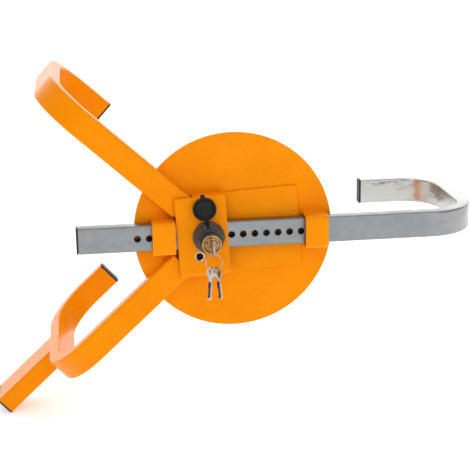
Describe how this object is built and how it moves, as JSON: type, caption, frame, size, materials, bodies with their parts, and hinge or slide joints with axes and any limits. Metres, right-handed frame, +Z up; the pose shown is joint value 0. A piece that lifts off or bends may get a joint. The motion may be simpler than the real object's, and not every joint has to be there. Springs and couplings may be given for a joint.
{
  "type": "wheel clamp",
  "caption": "Wheel clamp: a cover disc with two fixed hooked arms, and a hooked bar that slides through it and is locked by a push-in pin.",
  "frame": {"origin": "centre of the cover disc's back face, which lies against the wheel", "axes": "+Y points at the wheel, -Y at the user; +X runs along the sliding bar towards its hook; +Z is up"},
  "size_m": [0.6025, 0.3077, 0.4426],
  "materials": {
    "orange_coat": "gloss",
    "galvanised_steel": "satin",
    "black_plastic": "matte",
    "dark_zinc": "satin",
    "brass": "polished",
    "nickel": "polished",
    "black_rubber": "matte"
  },
  "bodies": {
    "frame": {"cover_disc": "orange_coat", "backing_plate": "orange_coat", "lock_housing": "orange_coat", "bar_guide_left": "orange_coat", "bar_guide_right": "orange_coat", "upper_arm": "orange_coat", "upper_arm_cap": "black_plastic", "lower_arm": "orange_coat", "lower_arm_cap": "black_plastic", "ground_leg": "orange_coat", "ground_leg_cap": "black_plastic", "bolt_sleeve": "nickel", "housing_bolt": "dark_zinc", "housing_nut": "galvanised_steel", "lock_collar": "dark_zinc", "pin_bush": "brass", "cap_band": "black_rubber", "cap_hinge_pin": "nickel"},
    "bar": {"sliding_bar": "galvanised_steel", "bar_inner_cap": "black_plastic", "bar_hook_cap": "black_plastic"},
    "barrel": {"lock_barrel": "dark_zinc", "barrel_face_ring": "brass", "locking_pin": "galvanised_steel", "pin_spring": "galvanised_steel"},
    "plug": {"lock_plug": "nickel", "key_in_lock": "nickel"},
    "ring": {"key_ring": "nickel"},
    "spare_key_left": {"spare_key_left": "nickel"},
    "spare_key_right": {"spare_key_right": "nickel"},
    "weather_cap": {"weather_cap": "black_rubber"}
  },
  "joints": [
    {"name": "bar_slide", "type": "slide", "parent": "frame", "child": "bar", "axis": [1, 0, 0], "range_m": [-0.112, 0.084]},
    {"name": "barrel_push", "type": "slide", "parent": "frame", "child": "barrel", "axis": [0, 1, 0], "range_m": [0, 0.016], "stiffness_N_per_m": 400, "deforming": ["pin_spring"]},
    {"name": "key_turn", "type": "hinge", "parent": "barrel", "child": "plug", "pos_m": [-0.0325, -0.063, 0], "axis": [0, -1, 0], "range_deg": [0, 90]},
    {"name": "ring_swing", "type": "hinge", "parent": "plug", "child": "ring", "pos_m": [-0.0325, -0.08, -0.0068], "axis": [1, 0, 0], "range_deg": [-30, 30]},
    {"name": "spare_key_left_swing", "type": "hinge", "parent": "ring", "child": "spare_key_left", "pos_m": [-0.03606, -0.08, -0.02511], "axis": [0.9272, 0, -0.3746], "range_deg": [-20, 20]},
    {"name": "spare_key_right_swing", "type": "hinge", "parent": "ring", "child": "spare_key_right", "pos_m": [-0.02894, -0.08, -0.02511], "axis": [0.9272, 0, 0.3746], "range_deg": [-20, 20]},
    {"name": "weather_cap_fold", "type": "hinge", "parent": "frame", "child": "weather_cap", "pos_m": [-0.03503, -0.0441, 0.01802], "axis": [0.9903, 0, 0.1392], "range_deg": [0, 85]}
  ]
}
